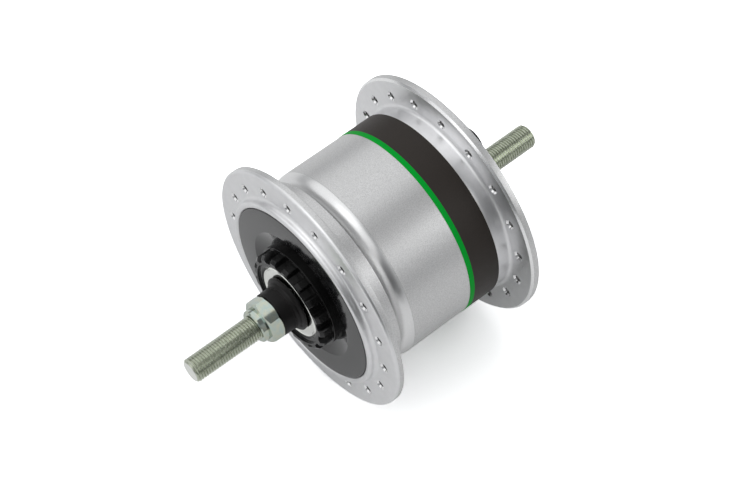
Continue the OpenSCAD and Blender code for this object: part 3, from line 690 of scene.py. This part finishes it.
def make_right_flange():
    """Terminal-side flange, whose spigot closes the shell; the outline runs over the outer face first."""
    face_y = RIGHT_MID_Y - FLANGE_T / 2
    back_y = RIGHT_MID_Y + FLANGE_T / 2
    low, high = box_mm("right_flange")
    cup_low, cup_high = box_mm("right_bearing_cup")
    seal_low, seal_high = box_mm("shell_seal")
    web_out_y = face_y + RECESS_DEPTH
    web_in_y = web_out_y + WEB_T
    floor_y = cup_high.y + CUP_FLOOR_T
    groove_r = SPIGOT_R - (seal_high.y - seal_low.y) - SEAT_GAP
    recess_r = COLLAR_R - SPIGOT_WALL
    piece = turned("right_flange_dressed", [
        (FLANGE_R - RIM_CHAMFER, back_y, FINE_ROUND, CUT),
        (FLANGE_R, back_y - RIM_CHAMFER, FINE_ROUND, SAND),
        (FLANGE_R, face_y, RIM_BACK_ROUND, SATIN),
        (recess_r, face_y, RECESS_ROUND, SATIN),
        (recess_r - RECESS_DEPTH, web_out_y, RECESS_ROUND, SATIN),
        (BOSS_R, web_out_y, BOSS_FOOT_ROUND, SATIN),
        (BOSS_R, low.y, BOSS_EDGE_ROUND, SATIN),
        (CAP_SEAT_R, low.y, SEAT_EDGE_ROUND, SATIN),
        (CAP_SEAT_R, cup_low.y, 0, SATIN),
        (BOSS_BORE_R, cup_low.y, 0, SATIN),
        (BOSS_BORE_R, cup_high.y, 0, SATIN),
        (SEAT_BORE_R, cup_high.y, 0, SATIN),
        (SEAT_BORE_R, floor_y, 0, SATIN),
        (BOSS_R, floor_y, 0, SATIN),
        (BOSS_R, web_in_y, 0, SATIN),
        (SPIGOT_R - SPIGOT_WALL, web_in_y, 0, SATIN),
        (SPIGOT_R - SPIGOT_WALL, high.y, 0, SATIN),
        (SPIGOT_R, high.y, 0, SATIN),
        (SPIGOT_R, seal_high.y + SEAT_GAP, 0, SATIN),
        (groove_r, seal_high.y + SEAT_GAP, 0, SATIN),
        (groove_r, seal_low.y - SEAT_GAP, 0, SATIN),
        (SPIGOT_R, seal_low.y - SEAT_GAP, 0, SATIN),
        (SPIGOT_R, SHELL_END_Y, 0, SATIN),
        (COLLAR_R, SHELL_END_Y, 0, SATIN),
        (COLLAR_R, back_y, FOOT_FILLET, SATIN),
    ])
    drill(piece, HOLE_PHASE + HOLE_PITCH / 2, RIGHT_MID_Y)
    dress(piece, "hub_body", "flange_silver", "right_flange")


make_hub_shell()
make_right_flange()

# Brake side: plate, spline ring, dust cap, boot

SPLINE_LOW, SPLINE_HIGH = box_mm("brake_spline_ring")
SPLINE_TEETH = 17
SPLINE_PHASE = 45.5
TOOTH_LEN = 4.7
TOOTH_H = 2.1
TOOTH_TIP_W = 2.6
TOOTH_ROOT_W = 3.3
TOOTH_CHAMFER = 1.0
TOOTH_ROUND = 0.35
SPLINE_WALL = 2.6
ROOT_R = CAP_SEAT_R + SPLINE_WALL
TIP_R = ROOT_R + TOOTH_H
FRONT_RIM_W = 0.6
FRONT_BORE_R = ROOT_R - FRONT_RIM_W
FRONT_STEP = 0.7
FRONT_EDGE = 0.55
SPLINE_EDGE = 0.12
SPLINE_EDGE_STEPS = 2
SPLINE_EDGE_ANGLE = math.radians(40)
DISH_IN_R = SPLINE_HIGH.x + SEAT_GAP
DISH_W = 5.3
DISH_OUT_R = DISH_IN_R + DISH_W
DISH_DEPTH = 2.1
DISH_ROUND = 0.4
PLATE_EDGE_ROUND = 0.3
CAP_ROLL_W = 0.5
CAP_ROLL_RISE = 0.35
CAP_ROLL_DROP = 0.15
CAP_ROLL_ROUND = 0.1
CAP_EDGE_ROUND = 0.05
CAP_FOOT_ROUND = 0.15
CAP_HOLE_ROUND = 0.2
CAP_HOLE_GAP = 0.4
BOOT_WALL = 1.2
BOOT_LIP = 2.1
BOOT_LIP_T = 0.75
BOOT_FOOT_ROUND = 0.3
BOOT_EDGE_ROUND = 0.25
# Boot above its lip, as (step out from the wall, height above the foot, rounding): flare, waist and ridge
BOOT_STEPS = [(0.95, 1.35, 0.15), (0.75, 1.95, 0.3), (0.12, 2.6, 0.4), (0.12, 3.1, 0.06), (0.0, 3.25, 0.06)]
SEAL_LIP_T = 0.7
SEAL_LIP_ROUND = 0.25
SEAL_EDGE_ROUND = 0.1


def make_side_plate():
    low, high = PLATE_LOW, PLATE_HIGH
    piece = turned("side_plate_dressed", [
        (DISH_IN_R, high.y - DISH_DEPTH, 0, PLATE),
        (DISH_OUT_R, high.y, DISH_ROUND, PLATE),
        (high.x, high.y, PLATE_EDGE_ROUND, PLATE),
        (high.x, LEDGE_Y, 0, PLATE),
        (DISH_OUT_R, LEDGE_Y, 0, PLATE),
        (DISH_IN_R, low.y, 0, PLATE),
    ])
    dress(piece, "hub_body", "plate_black", "brake_side_plate")


def tooth_outline():
    """Closed outline of the teeth as points in the XZ plane."""
    corners = []
    for number in range(SPLINE_TEETH):
        turn = math.radians(SPLINE_PHASE + number * 360 / SPLINE_TEETH)
        for across, width in ((ROOT_R, -TOOTH_ROOT_W), (TIP_R, -TOOTH_TIP_W),
                              (TIP_R, TOOTH_TIP_W), (ROOT_R, TOOTH_ROOT_W)):
            x = across * math.cos(turn) - width / 2 * math.sin(turn)
            z = across * math.sin(turn) + width / 2 * math.cos(turn)
            corners.append((x, z, TOOTH_ROUND, BLACK))
    return [point for point, finish in rounded(corners)]


def make_spline_ring():
    low, high = SPLINE_LOW, SPLINE_HIGH
    base_y = high.y - TOOTH_LEN
    floor_y = high.y - FRONT_STEP
    boss_y = box_mm("left_bearing_cup")[1].y
    boss_r = BOSS_R + SEAT_GAP
    outline = tooth_outline()
    front = [point * min(1, (TIP_R - TOOTH_CHAMFER) / point.length) for point in outline]
    angles = [math.atan2(point.y, point.x) for point in outline]
    rings = [
        ring(CAP_SEAT_R, boss_y, angles),
        ring(CAP_SEAT_R, floor_y - FRONT_EDGE, angles),
        ring(CAP_SEAT_R + FRONT_EDGE, floor_y, angles),
        ring(FRONT_BORE_R, floor_y, angles),
        ring(FRONT_BORE_R, high.y, angles),
        [(point.x, high.y, point.y) for point in front],
        [(point.x, high.y - TOOTH_CHAMFER, point.y) for point in outline],
        [(point.x, base_y, point.y) for point in outline],
        ring(high.x, base_y, angles),
        ring(high.x, low.y, angles),
        ring(boss_r, low.y, angles),
        ring(boss_r, boss_y, angles),
    ]
    piece = skin("spline_ring_dressed", rings, [BLACK] * len(rings))
    edge = piece.modifiers.new("edges", "BEVEL")
    edge.width = SPLINE_EDGE * MM
    edge.segments = SPLINE_EDGE_STEPS
    edge.limit_method = "ANGLE"
    edge.angle_limit = SPLINE_EDGE_ANGLE
    dress(piece, "hub_body", "spline_black", "brake_spline_ring")


def make_dust_cap(name, node, cone, outside):
    """A pressed ring; outside is 1 on the brake side and -1 on the terminal side."""
    low, high = box_mm(node)
    face_y, back_y = (high.y, low.y) if outside > 0 else (low.y, high.y)
    hole_r = box_mm(cone)[1].x + CAP_HOLE_GAP
    roll_y = face_y + outside * CAP_ROLL_RISE
    piece = turned(name, [
        (high.x, back_y, 0, PALE),
        (high.x, face_y - outside * CAP_ROLL_DROP, CAP_EDGE_ROUND, PALE),
        (high.x - CAP_ROLL_W, roll_y, CAP_ROLL_ROUND, PALE),
        (high.x - 2 * CAP_ROLL_W, face_y, CAP_FOOT_ROUND, PALE),
        (hole_r, face_y, CAP_HOLE_ROUND, PALE),
        (hole_r, back_y, 0, PALE),
    ])
    dress(piece, "hub_body", "dust_cap_steel", node)


def make_boot():
    low, high = box_mm("left_boot")
    wall_r = high.x - BOOT_LIP
    in_r = wall_r - BOOT_WALL
    lip_y = low.y + BOOT_LIP_T
    corners = [
        (in_r, low.y, 0, RUBBER),
        (high.x, low.y, BOOT_FOOT_ROUND, RUBBER),
        (high.x, lip_y, BOOT_EDGE_ROUND, RUBBER),
    ]
    corners += [(wall_r + out, low.y + up, rounding, RUBBER) for out, up, rounding in BOOT_STEPS]
    corners += [
        (wall_r, high.y, BOOT_EDGE_ROUND, RUBBER),
        (in_r, high.y, 0, RUBBER),
    ]
    piece = turned("left_boot_dressed", corners)
    dress(piece, "axle_set", "rubber", "left_boot")


def make_right_seal():
    low, high = box_mm("right_seal")
    wall_r = high.x - BOOT_LIP
    in_r = wall_r - BOOT_WALL
    piece = turned("right_seal_dressed", [
        (in_r, high.y, 0, RUBBER),
        (high.x, high.y, SEAL_LIP_ROUND, RUBBER),
        (high.x, high.y - SEAL_LIP_T, SEAL_LIP_ROUND, RUBBER),
        (wall_r, low.y, SEAL_EDGE_ROUND, RUBBER),
        (in_r, low.y, 0, RUBBER),
    ])
    dress(piece, "axle_set", "rubber", "right_seal")


make_side_plate()
make_spline_ring()
make_dust_cap("left_dust_cap_dressed", "left_dust_cap", "left_cone", 1)
make_dust_cap("right_dust_cap_dressed", "right_dust_cap", "right_cone", -1)
make_boot()
make_right_seal()

# Axle and nuts

AXLE_R = MOUNTS["axle_left"]["dims"]["r_mm"]
AXLE_END_Y = box_mm("axle")[1].y
AXLE_CHAMFER = 0.8
SHANK_STEP = 0.5
SHANK_R = AXLE_R + SHANK_STEP
AXLE_COLLAR_T = 2.5
PITCH_LINE_DROP = 0.325
PITCH_LINE_R = AXLE_R - PITCH_LINE_DROP
THREAD_PITCH = 1.0
THREAD_DEPTH = 0.61
CREST_FLAT = 0.14
ROOT_FLAT = 0.2
THREAD_SHARP_ANGLE = math.radians(42)
# As many sides as rows in a pitch, so the thread's lines run along the diagonals of the faces
AXLE_SIDES = 32
ROWS_PER_PITCH = AXLE_SIDES
NUT_AF = 15.0
NUT_FLATNESS = 0.72
NUT_CROWN_W = 0.2
NUT_CROWN_R = NUT_AF / 2 - NUT_CROWN_W
NUT_CROWN_SLOPE = 0.7
NUT_SIDES = 96
NUT_PHASE = math.radians(12)
NUT_BORE_R = PITCH_LINE_R + SEAT_GAP
NUT_BORE_CHAMFER = 0.35
NUT_COLLAR_LEN = 2.4
NUT_COLLAR_WALL = 1.55
NUT_COLLAR_R = AXLE_R + NUT_COLLAR_WALL
NUT_COLLAR_EDGE = 0.4


def thread_radius(angle, y):
    """Radius of a right-hand thread's surface."""
    share = (y / THREAD_PITCH + angle / (2 * math.pi)) % 1
    away = abs(2 * share - 1)
    depth = min(max((away - CREST_FLAT) / (1 - CREST_FLAT - ROOT_FLAT), 0), 1)
    cone = AXLE_R - AXLE_CHAMFER + AXLE_END_Y - abs(y)
    return min(AXLE_R - THREAD_DEPTH * depth, cone)


def thread_rings(low, high):
    """Rings of points that follow the thread between two places along the axle."""
    rows = round((high - low) / THREAD_PITCH * ROWS_PER_PITCH)
    places = [low + (high - low) * row / rows for row in range(rows + 1)]
    angles = even_angles(AXLE_SIDES)
    return [[ring(thread_radius(a, y), y, [a])[0] for a in angles] for y in places]


def make_axle():
    """Spindle with a real thread on its free ends and plain steps between them."""
    angles = even_angles(AXLE_SIDES)
    left_fork_y = box_mm("left_lock_nut")[1].y
    right_fork_y = box_mm("right_lock_nut")[0].y
    nut_side_y = box_mm("stator_core_right")[0].y
    collar_y = box_mm("stator_core_left")[1].y
    collar_r = box_mm("core_tube")[1].x
    cone_y = box_mm("left_cone")[0].y
    steps = [
        (PITCH_LINE_R, right_fork_y), (PITCH_LINE_R, nut_side_y), (SHANK_R, nut_side_y), (SHANK_R, collar_y),
        (collar_r, collar_y), (collar_r, collar_y + AXLE_COLLAR_T), (SHANK_R, collar_y + AXLE_COLLAR_T),
        (SHANK_R, cone_y), (PITCH_LINE_R, cone_y), (PITCH_LINE_R, left_fork_y),
    ]
    rings = thread_rings(-AXLE_END_Y, right_fork_y)
    rings += [ring(r, y, angles) for r, y in steps]
    rings += thread_rings(left_fork_y, AXLE_END_Y)
    finishes = [OLIVE] * len(rings)
    finishes[0] = PALE
    finishes[-1] = PALE
    piece = skin("axle_dressed", rings, finishes, capped=True)
    piece.data.set_sharp_from_angle(angle=THREAD_SHARP_ANGLE)
    dress(piece, "axle_set", "axle_steel", "axle")


def hex_ring(y, inward, angles):
    """Edge of a nut's crown, which drops further at the corners."""
    made = []
    for a in angles:
        turn = math.remainder(a - NUT_PHASE - math.pi / 6, math.pi / 3)
        r = NUT_AF / 2 / math.cos(turn) ** NUT_FLATNESS
        drop = (r - NUT_CROWN_R) * NUT_CROWN_SLOPE
        made.append((r * math.cos(a), y + inward * drop, r * math.sin(a)))
    return made


def make_nut(name, node, collar_len):
    """A hexagon nut with crowned faces and a plain collar, if its length isn't 0."""
    low, high = box_mm(node)
    angles = [NUT_PHASE + a for a in even_angles(NUT_SIDES)]
    top = high.y - collar_len
    rings = [
        ring(NUT_BORE_R, low.y, angles),
        ring(NUT_BORE_R, high.y - NUT_BORE_CHAMFER, angles),
        ring(NUT_BORE_R + NUT_BORE_CHAMFER, high.y, angles),
    ]
    if collar_len:
        rings += [
            ring(NUT_COLLAR_R - NUT_COLLAR_EDGE, high.y, angles),
            ring(NUT_COLLAR_R, high.y - NUT_COLLAR_EDGE, angles),
            ring(NUT_COLLAR_R, top, angles),
        ]
    rings += [
        ring(NUT_CROWN_R, top, angles),
        hex_ring(top, -1, angles),
        hex_ring(low.y, 1, angles),
        ring(NUT_CROWN_R, low.y, angles),
    ]
    piece = skin(name, rings, [ZINC] * len(rings))
    dress(piece, "axle_set", "nut_zinc", node)


make_axle()
make_nut("left_lock_nut_dressed", "left_lock_nut", NUT_COLLAR_LEN)
make_nut("right_lock_nut_dressed", "right_lock_nut", 0)
